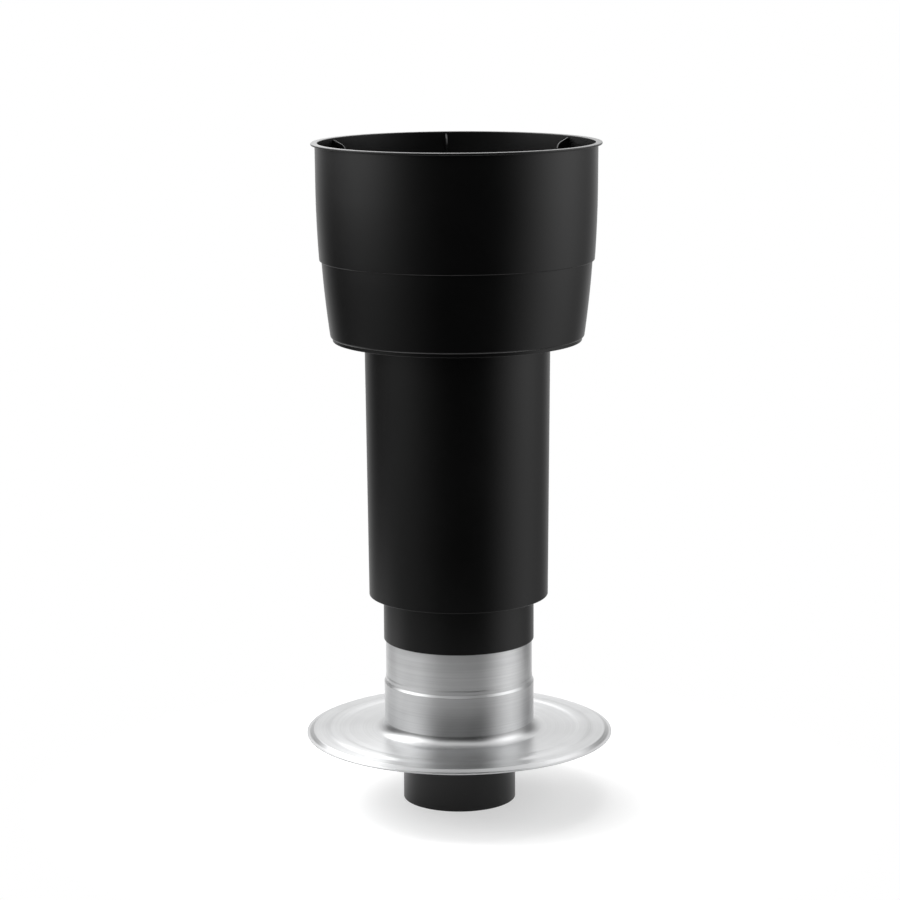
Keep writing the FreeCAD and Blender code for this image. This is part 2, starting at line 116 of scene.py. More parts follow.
class HoodSizes(bpy.types.PropertyGroup):
    """Sizes of the hood's ring, bowl and ribs."""

    lip_overhang: length("Lip overhang", "How far the lip stands out from the ring", 4.4 * MM)
    lip_thickness: length("Lip thickness", "Height of the lip's edge", 2.4 * MM)
    lip_round: length("Lip rounding", "Rounding on the lip's corners", 0.8 * MM)
    ring_wall: length("Ring wall", "Wall of the ring", 2.6 * MM)
    ring_foot_inset: length("Ring foot inset", "How far the ring's foot lies inside its top", 3.4 * MM)
    ring_belly_inset: length("Ring belly inset", "How far the ring's belly lies inside its top", 0.5 * MM)
    ring_belly_rise: length("Ring belly height", "Height of the ring's belly above its foot", 41.0 * MM)
    ring_curve: length("Ring curve", "Radius of the ring's belly in its section", 1050 * MM)
    foot_round: length("Foot rounding", "Rounding on the ring's lower edge", 1.2 * MM)
    ledge_thickness: length("Ledge thickness", "Thickness of the ledge that lies on the bowl", 2.4 * MM)
    ledge_width: length("Ledge width", "Width of the ledge that lies on the bowl", 5.6 * MM)
    lap: length("Lap", "How far the bowl's rim stands inside the ring", 12.0 * MM)
    bowl_wall: length("Bowl wall", "Wall of the bowl", 2.5 * MM)
    bowl_rim_inset: length("Bowl rim inset", "How far the bowl's rim lies inside the ring's foot", 2.3 * MM)
    bowl_belly_radius: length("Bowl belly radius", "Radius where the bowl's side curves", 143.5 * MM)
    bowl_belly_drop: length("Bowl belly drop", "Height of that place below the ring", 46.5 * MM)
    bowl_curve: length("Bowl curve", "Radius of the bowl's side in its section", 950 * MM)
    bowl_foot_radius: length("Bowl foot radius", "Radius of the bowl's lower edge", 138.2 * MM)
    foot_ring_inset: length("Foot ring inset", "Step from the bowl's side to its foot ring", 2.3 * MM)
    foot_ring_height: length("Foot ring height", "Height of the foot ring", 3.7 * MM)
    floor_fall: length("Floor fall", "Fall of the bowl's floor towards the sleeve", 6.5 * MM)
    spigot_length: length("Spigot length", "Length of the bowl's spigot inside the sleeve", 33.5 * MM)


class RibSizes(bpy.types.PropertyGroup):
    """Sizes of the ribs inside the hood, which carry the rain cap."""

    count: bpy.props.IntProperty(name="Ribs", description="Ribs spread around the ring", default=6, min=1)
    first_angle: degrees("First rib", "Angle of the first rib from X", 34.5)
    thickness: length("Rib thickness", "Thickness of a rib", 2.0 * MM)
    width: length("Rib width", "How far the rib's fin stands in from the wall", 15.5 * MM)
    top_drop: length("Top drop", "Height of the rib's top below the rim", 1.5 * MM)
    top_fall: length("Top fall", "Fall of the rib's top towards its inner edge", 7.5 * MM)
    foot_height: length("Foot height", "Height of the foot that carries the cap", 7.0 * MM)
    heel_rise: length("Heel rise", "Height over which the foot runs back to the wall", 23.0 * MM)
    boss_radius: length("Boss radius", "Radius of the round bosses", 4.8 * MM)
    cap_rise: length("Cap seat", "Height of the cap's seat above the ring's foot", 59.0 * MM)
    cap_flange: length("Cap flange", "Width of the cap's flange", 12.0 * MM)
    arm_circle: length("Post circle", "Radius of the circle of the bowl's posts", 118.0 * MM)
    post_top: length("Post top", "Height of the posts above the frame's origin", 540.0 * MM)
    tab_circle: length("Tab circle", "Radius of the circle of the ring's screw tabs", 140.8 * MM)


class TubeSizes(bpy.types.PropertyGroup):
    """Sizes of sleeve, roof pipe, duct and rain cap."""

    sleeve_wall: length("Sleeve wall", "Wall of the tapered sleeve", 2.6 * MM)
    sleeve_taper: length("Sleeve taper", "How much smaller the sleeve's lower radius is", 2.4 * MM)
    socket_wall: length("Socket wall", "Wall of the roof pipe's socket", 1.8 * MM)
    socket_depth: length("Socket depth", "Depth of the roof pipe's socket", 50 * MM)
    pipe_wall: length("Pipe wall", "Wall of the roof pipe above its socket", 3.2 * MM)
    duct_wall: length("Duct wall", "Wall of the air duct", 2.5 * MM)
    duct_step: length("Duct step", "How much smaller the duct's spigot is in radius", 0.7 * MM)
    spigot_length: length("Duct spigot", "Length of the duct's spigot", 76 * MM)
    nozzle_seat: length("Nozzle seat", "Depth of the seat for the nozzle at the duct's upper end", 23.3 * MM)
    end_round: length("End rounding", "Rounding on the tubes' ends", 0.5 * MM)
    cap_wall: length("Cap wall", "Wall of the rain cap", 2.5 * MM)
    cap_crown: length("Cap crown", "Radius of the cap's flat crown", 15.6 * MM)
    cap_crown_bend: length("Crown bend", "Rounding between crown and slope", 62.4 * MM)
    cap_heel_bend: length("Heel bend", "Rounding between slope and flange", 7.5 * MM)


class MetalSizes(bpy.types.PropertyGroup):
    """Sizes of the aluminium collar and flashing."""

    collar_sheet: length("Collar sheet", "Sheet thickness of the collar", 1.0 * MM)
    collar_upper_inset: length("Upper inset", "How far the upper collar lies inside the lower one", 2.0 * MM)
    swage_rise: length("Swage place", "Height of the swage above the collar's foot", 43.2 * MM)
    swage_height: length("Swage height", "Height of the swage itself", 2.8 * MM)
    crease_step: length("Crease step", "Step at the collar's crease", 0.3 * MM)
    crease_gap: length("Crease gap", "Height between swage and crease", 3.8 * MM)
    crease_height: length("Crease height", "Height of the crease itself", 1.6 * MM)
    collar_bend: length("Collar bend", "Rounding at swage and crease", 1.2 * MM)
    plate_sheet: length("Plate sheet", "Sheet thickness of the flashing", 1.2 * MM)
    rim_drop: length("Rim drop", "How far the rim lies below the plate", 3.3 * MM)
    rim_width: length("Rim width", "Width of the flat rim", 3.2 * MM)
    rim_slope: length("Rim slope", "Width of the slope between plate and rim", 4.4 * MM)
    rim_crest_bend: length("Crest bend", "Rounding above the slope", 2.4 * MM)
    rim_bend: length("Rim bend", "Rounding below the slope", 2.0 * MM)
    flare_radius: length("Flare", "Rounding between plate and neck", 12.4 * MM)
    bead_radius: length("Bead radius", "Radius of the stiffening bead's circle", 140.0 * MM)
    bead_width: length("Bead width", "Width of the stiffening bead", 18.0 * MM)
    bead_side: length("Bead side", "Width of each side of the bead", 5.0 * MM)
    bead_rise: length("Bead height", "Height of the bead", 1.2 * MM)


class Finishes(bpy.types.PropertyGroup):
    """Colours and gloss of the finishes."""

    plastic: colour("Plastic", "Black plastic of hood and tubes", (0.0028, 0.0028, 0.0030))
    plastic_gloss: share("Plastic roughness", "Roughness of the hood", 0.30)
    tube_gloss: share("Tube roughness", "Roughness of sleeve and pipe", 0.33)
    duct_gloss: share("Duct roughness", "Roughness of the duct", 0.36)
    collar: colour("Collar", "Spun aluminium of the collar", (0.76, 0.765, 0.77))
    collar_gloss: share("Collar roughness", "Roughness of the collar", 0.35)
    plate: colour("Flashing", "Spun aluminium of the flashing", (0.64, 0.645, 0.65))
    plate_gloss: share("Flashing roughness", "Roughness of the flashing", 0.32)
    steel: colour("Screws", "Stainless screws", (0.62, 0.62, 0.63))
    foam: colour("Foam", "Bead foam", (0.36, 0.37, 0.39))
    rubber: colour("Rubber", "Rubber seals", (0.018, 0.018, 0.018))


class Studio(bpy.types.PropertyGroup):
    """Camera, floor and light tent."""

    camera_place: bpy.props.FloatVectorProperty(name="Camera", description="Place of the camera",
                                                default=(-0.0003, -3.0343, 0.9633), subtype="TRANSLATION")
    camera_pitch: degrees("Pitch", "Angle below the horizon", 10.622)
    camera_yaw: degrees("Yaw", "Turn to the left", 0.159)
    camera_roll: degrees("Roll", "Turn about the view", -0.311)
    lens: bpy.props.FloatProperty(name="Lens", description="Focal length in millimetres", default=112.39,
                                  unit="CAMERA")
    floor_radius: length("Floor radius", "Radius of the pale floor", 0.5)
    floor_colour: colour("Floor", "Colour of the floor", (0.50, 0.50, 0.50))
    tent_radius: length("Tent radius", "Radius of the light tent", 1.45)


GROUPS = {
    "vent_hood": HoodSizes,
    "vent_ribs": RibSizes,
    "vent_tubes": TubeSizes,
    "vent_metal": MetalSizes,
    "vent_finish": Finishes,
    "vent_studio": Studio,
}


# Shapes

def segments_for(radius, turn):
    """Number of facets for a rounding, more of them on large ones."""
    step = 2 * math.acos(max(1 - ROUNDING_ERROR / max(radius, ROUNDING_ERROR), -1))
    return min(max(math.ceil(turn / max(step, FINEST_STEP)), FEWEST_FACETS), MOST_FACETS)


def rounding_of(corner):
    """Rounding of a corner given as (radius, height) or (radius, height, rounding)."""
    return corner[2] if len(corner) > 2 else 0


def rounded_wire(bm, corners):
    """Closed wire in the XZ plane through corners, with the roundings they name."""
    verts = [bm.verts.new((corner[0], 0, corner[1])) for corner in corners]
    count = len(verts)
    for i in range(count):
        bm.edges.new((verts[i], verts[(i + 1) % count]))
    places = [vert.co.copy() for vert in verts]
    for i, corner in enumerate(corners):
        rounding = rounding_of(corner)
        if not rounding:
            continue
        before = places[i - 1] - places[i]
        after = places[(i + 1) % count] - places[i]
        half = before.angle(after) / 2
        reach = rounding / math.tan(half)
        bmesh.ops.bevel(bm, geom=[verts[i]], offset=reach, offset_type="OFFSET",
                        segments=segments_for(rounding, math.pi - 2 * half), profile=0.5, affect="VERTICES",
                        material=-1)


def turned(corners, steps=TURN_STEPS):
    """Mesh in the making of a solid of revolution about Z."""
    bm = bmesh.new()
    rounded_wire(bm, corners)
    bmesh.ops.spin(bm, geom=bm.verts[:] + bm.edges[:], cent=ORIGIN, axis=AXIS, dvec=ORIGIN, angle=TURN,
                   steps=steps, use_merge=True)
    bmesh.ops.remove_doubles(bm, verts=bm.verts[:], dist=WELD)
    bmesh.ops.recalc_face_normals(bm, faces=bm.faces[:])
    return bm


def sheet_corners(thickness, path):
    """Closed corners of an even wall that lies to the right of a path given from start to end."""
    points = [Vector((corner[0], corner[1])) for corner in path]
    normals = []
    for start, end in zip(points, points[1:]):
        along = (end - start).normalized()
        normals.append(Vector((along.y, -along.x)))
    moved = []
    for i, corner in enumerate(path):
        first = normals[max(i - 1, 0)]
        second = normals[min(i, len(normals) - 1)]
        place = points[i] + (first + second) * (thickness / (1 + first.dot(second)))
        rounding = rounding_of(corner)
        if rounding:
            turn = first.x * second.y - first.y * second.x
            rounding = max(rounding + math.copysign(thickness, turn), THINNEST_BEND * thickness)
        moved.append((place.x, place.y, rounding))
    return list(path) + moved[::-1]


def round_bar(bm, radius, bottom, top, place, rounding=0.0):
    """Adds an upright bar, with softened edges where it has a rounding."""
    middle = Matrix.Translation((place.x, place.y, (bottom + top) / 2))
    made = bmesh.ops.create_cone(bm, cap_ends=True, segments=BOSS_FACETS, radius1=radius, radius2=radius,
                                 depth=top - bottom, matrix=middle)
    if rounding:
        verts = set(made["verts"])
        rims = [edge for edge in bm.edges if set(edge.verts) <= verts and
                abs(edge.verts[0].co.z - edge.verts[1].co.z) < LEVEL]
        bmesh.ops.bevel(bm, geom=rims, offset=rounding, segments=FEWEST_FACETS, profile=0.5, affect="EDGES",
                        material=-1)


def on_circle(radius, angle):
    """Point on a circle about the axis."""
    return Vector((radius * math.cos(angle), radius * math.sin(angle), 0))


def add_mesh(bm, other, turn=0.0):
    """Adds another mesh in the making, turned about the axis, to this one."""
    extra = bpy.data.meshes.new("extra")
    other.to_mesh(extra)
    extra.transform(Matrix.Rotation(turn, 4, "Z"))
    bm.from_mesh(extra)
    bpy.data.meshes.remove(extra)


def finish_piece(bm, name, material, stands_for, smooth_below=SMOOTH_BELOW):
    """Makes the object, smooth except along sharp edges, hangs it under the root body and hides the frame's
    part that it stands for.
    """
    mesh = bpy.data.meshes.new(name)
    bm.to_mesh(mesh)
    bm.free()
    mesh.shade_smooth()
    mesh.set_sharp_from_angle(angle=smooth_below)
    piece = bpy.data.objects.new(name, mesh)
    bpy.context.scene.collection.objects.link(piece)
    weighted = piece.modifiers.new("even_normals", "WEIGHTED_NORMAL")
    weighted.keep_sharp = True
    weighted.weight = 100
    mesh.materials.append(material)
    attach(piece, "root")
    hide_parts(stands_for)


# Node helpers

def new_material(name, roughness, base, metallic=0.0):
    """Material with a Principled shader and its constant values on the shader's own sockets."""
    material = bpy.data.materials.new(name)
    material.use_nodes = True
    tree = material.node_tree
    shader = tree.nodes["Principled BSDF"]
    shader.inputs["Base Color"].default_value = (*base, 1)
    shader.inputs["Roughness"].default_value = roughness
    shader.inputs["Metallic"].default_value = metallic
    return material, tree, shader


def node(tree, kind, **values):
    """New node with its properties, and its inputs by name or number."""
    made = tree.nodes.new(kind)
    inputs = values.pop("inputs", {})
    for key, value in values.items():
        setattr(made, key, value)
    for key, value in inputs.items():
        if isinstance(value, bpy.types.NodeSocket):
            tree.links.new(value, made.inputs[key])
        else:
            made.inputs[key].default_value = value
    return made


def maths(tree, operation, first, second=0.0, clamp=False):
    """Math node, returned as its output socket."""
    made = node(tree, "ShaderNodeMath", operation=operation, use_clamp=clamp, inputs={0: first, 1: second})
    return made.outputs[0]


def ranged(tree, value, low, high, to_low, to_high, smooth=False):
    """Map Range node, returned as its output socket."""
    kind = "SMOOTHSTEP" if smooth else "LINEAR"
    made = node(tree, "ShaderNodeMapRange", interpolation_type=kind,
                inputs={"Value": value, "From Min": low, "From Max": high,
                        "To Min": to_low, "To Max": to_high})
    return made.outputs["Result"]


def own_place(tree):
    """Place on the piece, in object coordinates."""
    return tree.nodes.new("ShaderNodeTexCoord").outputs["Object"]


def from_axis(tree, place):
    """Distance of a place from the axis."""
    parts = node(tree, "ShaderNodeSeparateXYZ", inputs={0: place}).outputs
    flat = node(tree, "ShaderNodeCombineXYZ", inputs={0: parts["X"], 1: parts["Y"]})
    reach = node(tree, "ShaderNodeVectorMath", operation="LENGTH", inputs={0: flat.outputs["Vector"]})
    return reach.outputs["Value"]


def noise(tree, place, scale, detail, roughness=0.5):
    """Noise texture, returned as its output socket."""
    made = node(tree, "ShaderNodeTexNoise",
                inputs={"Vector": place, "Scale": scale, "Detail": detail, "Roughness": roughness})
    return made.outputs["Fac"]


def toned(tree, base, tint):
    """Colour made darker or lighter by a tint, returned as its output socket."""
    made = node(tree, "ShaderNodeVectorMath", operation="SCALE", inputs={0: base, "Scale": tint})
    return made.outputs["Vector"]


def bump(tree, shader, height):
    """Bump from a height in metres into the shader's normal."""
    made = node(tree, "ShaderNodeBump", inputs={"Strength": 1.0, "Distance": 1.0, "Height": height})
    tree.links.new(made.outputs["Normal"], shader.inputs["Normal"])


def group_tree(name, inputs, outputs):
    """Shader node group with named sockets."""
    tree = bpy.data.node_groups.new(name, "ShaderNodeTree")
    for socket, kind, default in inputs:
        made = tree.interface.new_socket(name=socket, in_out="INPUT", socket_type=kind)
        made.default_value = default
    for socket, kind in outputs:
        tree.interface.new_socket(name=socket, in_out="OUTPUT", socket_type=kind)
    entry = tree.nodes.new("NodeGroupInput")
    leave = tree.nodes.new("NodeGroupOutput")
    return tree, entry.outputs, leave.inputs


# What the groups of the finishes put out
FINISH_OUTPUTS = [
    ("Height", "NodeSocketFloat"),
    ("Roughness", "NodeSocketFloat"),
    ("Colour", "NodeSocketColor"),
]


def grain_group():
    """Fine moulded grain with faint handling marks: a height, and a roughness and colour that vary."""
    if "moulded_grain" in bpy.data.node_groups:
        return bpy.data.node_groups["moulded_grain"]
    tree, given, out = group_tree("moulded_grain", [
        ("Grain Size", "NodeSocketFloat", 2600.0), ("Marks", "NodeSocketFloat", 0.05),
        ("Roughness", "NodeSocketFloat", 0.3), ("Colour", "NodeSocketColor", (0.01, 0.01, 0.01, 1))],
        FINISH_OUTPUTS)
    place = own_place(tree)
    fine = noise(tree, place, given["Grain Size"], detail=2.0)
    broad = noise(tree, place, scale=9.0, detail=4.0, roughness=0.55)
    tree.links.new(fine, out["Height"])
    swing = maths(tree, "MULTIPLY", maths(tree, "SUBTRACT", broad, 0.5), given["Marks"])
    varied = maths(tree, "ADD", given["Roughness"], maths(tree, "MULTIPLY", swing, 2.0))
    tree.links.new(varied, out["Roughness"])
    tint = ranged(tree, broad, low=0.3, high=0.7, to_low=0.85, to_high=1.2)
    tree.links.new(toned(tree, given["Colour"], tint), out["Colour"])
    return tree


def streak_group():
    """Fine lines along the axis, as an extruded tube has them."""
    if "extrusion_lines" in bpy.data.node_groups:
        return bpy.data.node_groups["extrusion_lines"]
    tree, given, out = group_tree("extrusion_lines", [
        ("Fineness", "NodeSocketFloat", 420.0)], [("Height", "NodeSocketFloat")])
    drawn = node(tree, "ShaderNodeVectorMath", operation="MULTIPLY",
                 inputs={0: own_place(tree), 1: (1, 1, 0.006)})
    tree.links.new(noise(tree, drawn.outputs["Vector"], given["Fineness"], detail=3.0), out["Height"])
    return tree


def spun_group():
    """Turning lines on spun sheet: they run round the axis on upright and flat faces alike."""
    if "spun_lines" in bpy.data.node_groups:
        return bpy.data.node_groups["spun_lines"]
    tree, given, out = group_tree("spun_lines", [
        ("Fineness", "NodeSocketFloat", 900.0), ("Roughness", "NodeSocketFloat", 0.3),
        ("Swing", "NodeSocketFloat", 0.10), ("Colour", "NodeSocketColor", (0.7, 0.7, 0.7, 1))],
        FINISH_OUTPUTS)
    place = own_place(tree)
    parts = node(tree, "ShaderNodeSeparateXYZ", inputs={0: place}).outputs
    run = maths(tree, "SUBTRACT", from_axis(tree, place), parts["Z"])
    drift = 5.0
    line_place = node(tree, "ShaderNodeCombineXYZ", inputs={
        0: maths(tree, "MULTIPLY", run, given["Fineness"]),
        1: maths(tree, "MULTIPLY", parts["X"], drift),
        2: maths(tree, "MULTIPLY", parts["Y"], drift)})
    lines = noise(tree, line_place.outputs[0], scale=1.0, detail=4.0, roughness=0.65)
    cloudy = noise(tree, place, scale=14.0, detail=3.0)
    tree.links.new(lines, out["Height"])
    mixed = maths(tree, "ADD", lines, cloudy)
    swing = maths(tree, "MULTIPLY", maths(tree, "SUBTRACT", mixed, 1.0), given["Swing"])
    tree.links.new(maths(tree, "ADD", given["Roughness"], swing), out["Roughness"])
    tint = ranged(tree, mixed, low=0.6, high=1.4, to_low=0.86, to_high=1.10)
    tree.links.new(toned(tree, given["Colour"], tint), out["Colour"])
    return tree


def placed(tree, group, **inputs):
    """A group node with its values, an underscore standing for a space in a socket's name."""
    made = tree.nodes.new("ShaderNodeGroup")
    made.node_tree = group
    for key, value in inputs.items():
        made.inputs[key.replace("_", " ")].default_value = value
    return made


def cached(maker):
    """Makes a material once and hands out the same one afterwards."""
    def fetch():
        name = maker.__name__
        if name in bpy.data.materials:
            return bpy.data.materials[name]
        return maker(name, bpy.context.scene.vent_finish)
    return fetch


def grained(name, base, roughness, fineness, depth, marks):
    """Material with moulded grain and marks, and the height of its grain."""
    material, tree, shader = new_material(name, roughness, base)
    grain = placed(tree, grain_group(), Grain_Size=fineness, Marks=marks, Roughness=roughness,
                   Colour=(*base, 1))
    tree.links.new(grain.outputs["Colour"], shader.inputs["Base Color"])
    tree.links.new(grain.outputs["Roughness"], shader.inputs["Roughness"])
    return material, tree, shader, maths(tree, "MULTIPLY", grain.outputs["Height"], depth)


def plastic(name, finish, roughness, fineness, depth, line_depth=0.0, specular=0.5):
    """Black plastic: moulded grain, faint marks, and extrusion lines where it is a tube."""
    material, tree, shader, height = grained(name, finish.plastic, roughness, fineness, depth, marks=0.05)
    shader.inputs["IOR"].default_value = 1.5
    shader.inputs["Specular IOR Level"].default_value = specular
    if line_depth:
        streaks = placed(tree, streak_group())
        height = maths(tree, "ADD", height, maths(tree, "MULTIPLY", streaks.outputs["Height"], line_depth))
    bump(tree, shader, height)
    return material


@cached
def hood_finish(name, finish):
    """Black moulded plastic of the hood."""
    return plastic(name, finish, finish.plastic_gloss, fineness=2400.0, depth=0.010 * MM)


@cached
def tube_finish(name, finish):
    """Black plastic of sleeve and roof pipe."""
    return plastic(name, finish, finish.tube_gloss, fineness=3000.0, depth=0.008 * MM, line_depth=0.012 * MM)


@cached
def duct_finish(name, finish):
    """Duller black plastic of the air duct."""
    return plastic(name, finish, finish.duct_gloss, fineness=3000.0, depth=0.010 * MM, line_depth=0.015 * MM,
                   specular=0.3)


@cached
def inner_finish(name, finish):
    """Coarser black plastic of the inner pieces."""
    return plastic(name, finish, finish.duct_gloss, fineness=1800.0, depth=0.02 * MM)


def spun_metal(name, base, roughness, spread, line_depth, fineness):
    """Spun aluminium with its turning lines, its highlights spread across them."""
    material, tree, shader = new_material(name, roughness, base, metallic=1.0)
    shader.inputs["Anisotropic"].default_value = spread
    shader.inputs["Anisotropic Rotation"].default_value = 0.25
    tangent = node(tree, "ShaderNodeTangent", direction_type="RADIAL", axis="Z")
    tree.links.new(tangent.outputs["Tangent"], shader.inputs["Tangent"])
    lines = placed(tree, spun_group(), Fineness=fineness, Roughness=roughness, Swing=0.10, Colour=(*base, 1))
    tree.links.new(lines.outputs["Colour"], shader.inputs["Base Color"])
    tree.links.new(lines.outputs["Roughness"], shader.inputs["Roughness"])
    bump(tree, shader, maths(tree, "MULTIPLY", lines.outputs["Height"], line_depth))
    return material


@cached
def collar_finish(name, finish):
    """Bright spun aluminium of the collar."""
    return spun_metal(name, finish.collar, finish.collar_gloss, spread=0.88, line_depth=0.012 * MM,
                      fineness=500.0)


@cached
def plate_finish(name, finish):
    """Greyer spun aluminium of the flashing."""
    return spun_metal(name, finish.plate, finish.plate_gloss, spread=0.7, line_depth=0.010 * MM,
                      fineness=700.0)


@cached
def screw_finish(name, finish):
    """Stainless steel of the screws."""
    roughness = 0.25
    material, tree, shader = new_material(name, roughness, finish.steel, metallic=1.0)
    marks = placed(tree, grain_group(), Grain_Size=4000.0, Marks=0.1, Roughness=roughness)
    tree.links.new(marks.outputs["Roughness"], shader.inputs["Roughness"])
    bump(tree, shader, maths(tree, "MULTIPLY", marks.outputs["Height"], 0.004 * MM))
    return material


@cached
def foam_finish(name, finish):
    """Grey foam of pressed beads."""
    bead_relief = 0.4 * MM
    material, tree, shader = new_material(name, 0.8, finish.foam)
    beads = node(tree, "ShaderNodeTexVoronoi", feature="F1",
                 inputs={"Vector": own_place(tree), "Scale": 320.0})
    tint = ranged(tree, beads.outputs["Distance"], low=0.0, high=0.8, to_low=1.15, to_high=0.7)
    tree.links.new(toned(tree, tuple(finish.foam), tint), shader.inputs["Base Color"])
    bump(tree, shader, maths(tree, "MULTIPLY", beads.outputs["Distance"], -bead_relief))
    return material


@cached
def seal_finish(name, finish):
    """Dull black rubber of the seals."""
    material, tree, shader, height = grained(name, finish.rubber, roughness=0.6, fineness=1500.0,
                                             depth=0.02 * MM, marks=0.1)
    bump(tree, shader, height)
    return material


# Pieces

# Small shapes of ribs, ledge, ears and posts
RIB_ROOT = 1.8 * MM
RIB_SHOULDER_BEND = 8.5 * MM
RIB_ELBOW_BEND = 21.7 * MM
RIB_HEEL_BEND = 31 * MM
RIB_EDGE_BEVEL = 0.35 * MM
LEDGE_ROOT = 1.9 * MM
LEDGE_RISE = 1.0 * MM
BOWL_CORNER_BEND = 3.0 * MM
EAR_LENGTH = 21 * MM
POST_SINK = 0.4
CAP_SKIRT_DROP = 1 * MM


def rib_mesh(hood, ribs):
    """One rib with its boss, in the plane of X and Z."""
    rim_top = RING_HIGH[2]
    ring_foot = RING_LOW[2]
    top_radius = RING_HIGH[0] - hood.lip_overhang
    cap_radius = CAP_HIGH[0]
    cap_seat = ring_foot + ribs.cap_rise
    wall_top = rim_top - ribs.top_drop
    fin = top_radius - hood.ring_wall - ribs.width
    foot_end = cap_radius - ribs.cap_flange + FIT
    foot_bottom = cap_seat - ribs.foot_height
    heel = foot_bottom - ribs.heel_rise
    belly = top_radius - hood.ring_belly_inset
    up_the_slope = (heel - ring_foot) / hood.ring_belly_rise
    heel_radius = belly - (hood.ring_foot_inset - hood.ring_belly_inset) * (1 - up_the_slope)
    bm = bmesh.new()
    rounded_wire(bm, [(top_radius - RIB_ROOT, wall_top),
                      (fin, wall_top - ribs.top_fall, RIB_SHOULDER_BEND),
                      (fin, cap_seat, RIB_ELBOW_BEND),
                      (foot_end, cap_seat, EDGE_ROUND),
                      (foot_end, foot_bottom, EDGE_ROUND),
                      (cap_radius, foot_bottom, RIB_HEEL_BEND),
                      (heel_radius - RIB_ROOT, heel)])
    side = bmesh.ops.contextual_create(bm, geom=bm.edges[:])["faces"]
    bmesh.ops.translate(bm, verts=bm.verts[:], vec=(0, -ribs.thickness / 2, 0))
    grown = bmesh.ops.extrude_face_region(bm, geom=side)
    moved = [item for item in grown["geom"] if isinstance(item, bmesh.types.BMVert)]
    bmesh.ops.translate(bm, verts=moved, vec=(0, ribs.thickness, 0))
    bmesh.ops.recalc_face_normals(bm, faces=bm.faces[:])
    rims = [edge for edge in bm.edges if abs(edge.verts[0].co.y - edge.verts[1].co.y) < LEVEL]
    bmesh.ops.bevel(bm, geom=rims, offset=RIB_EDGE_BEVEL, segments=2, profile=0.5, affect="EDGES",
                    material=-1)
    round_bar(bm, ribs.boss_radius, foot_bottom, cap_seat, Vector((cap_radius - ribs.cap_flange / 2, 0, 0)))
    return bm


class VENT_OT_hood_ring(bpy.types.Operator):
    """Upper ring of the hood, with its lip, inner ledge, screw tabs and ribs"""

    bl_idname = "vent.hood_ring"
    bl_label = "Hood ring"
    bl_options = {"REGISTER", "UNDO"}

    def execute(self, context):
        hood = context.scene.vent_hood
        ribs = context.scene.vent_ribs
        rim_top = RING_HIGH[2]
        foot = RING_LOW[2]
        lip_radius = RING_HIGH[0]
        top_radius = lip_radius - hood.lip_overhang
        belly_radius = top_radius - hood.ring_belly_inset
        belly = foot + hood.ring_belly_rise
        lip_foot = rim_top - hood.lip_thickness
        ledge_foot = foot + hood.lap
        ledge_top = ledge_foot + hood.ledge_thickness
        rebate = top_radius - hood.ring_foot_inset - hood.bowl_rim_inset + FIT
        ledge_bore = rebate - hood.ledge_width
        wall_at_ledge = belly_radius - hood.ring_wall - LEDGE_ROOT
        bm = turned([(top_radius - hood.ring_wall, rim_top, hood.lip_round),
                     (lip_radius, rim_top, hood.lip_round),
                     (lip_radius, lip_foot, hood.lip_round),
                     (top_radius, lip_foot, hood.lip_round),
                     (belly_radius, belly, hood.ring_curve),
                     (top_radius - hood.ring_foot_inset, foot, hood.foot_round),
                     (rebate, foot, FINE_ROUND),
                     (rebate, ledge_foot),
                     (ledge_bore, ledge_foot, EDGE_ROUND),
                     (ledge_bore, ledge_top, EDGE_ROUND),
                     (wall_at_ledge, ledge_top + LEDGE_RISE, hood.ring_wall / 2),
                     (belly_radius - hood.ring_wall, belly, hood.ring_curve)])
        one_rib = rib_mesh(hood, ribs)
        step = TURN / ribs.count
        for i in range(ribs.count):
            add_mesh(bm, one_rib, ribs.first_angle + i * step)
            tab = on_circle(ribs.tab_circle, ribs.first_angle + (i + 0.5) * step)
            round_bar(bm, ribs.boss_radius, ledge_foot + SUNK, ledge_top - SUNK, tab, BOSS_ROUND)
        one_rib.free()
        finish_piece(bm, "hood_ring_shell", hood_finish(), "hood_ring")
        return {"FINISHED"}


